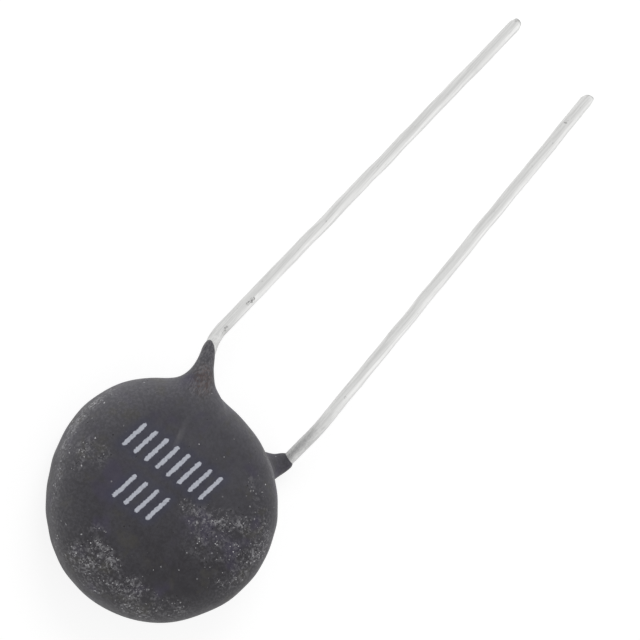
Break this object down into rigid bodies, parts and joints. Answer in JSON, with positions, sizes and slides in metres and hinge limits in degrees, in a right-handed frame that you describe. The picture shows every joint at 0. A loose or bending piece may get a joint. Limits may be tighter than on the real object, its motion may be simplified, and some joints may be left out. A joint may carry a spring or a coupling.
{
  "type": "ntc thermistor",
  "caption": "Disc thermistor dipped in matte charcoal resin, with two stiff tinned wire leads leaving its rim side by side.",
  "frame": {"origin": "centre of the flat back face, the one the part lies on", "axes": "+Z from the back face to the front face, +Y from the disc along the wires, +X across the pair"},
  "size_m": [0.0152, 0.0455, 0.0058],
  "materials": {
    "resin": "dipped and cured, matte, with fine pale dust specks",
    "oxide_ceramic": "sintered, unglazed",
    "silver_layer": "fired silver, dull",
    "solder": "reflowed solder, satin",
    "tinned_wire": "tin-plated copper, satin, lightly marked"
  },
  "bodies": {
    "root": {"resin_coating": "resin", "ceramic_disc": "oxide_ceramic", "front_electrode": "silver_layer", "rear_electrode": "silver_layer", "front_solder": "solder", "rear_solder": "solder", "front_lead": "tinned_wire", "rear_lead": "tinned_wire"}
  },
  "joints": []
}
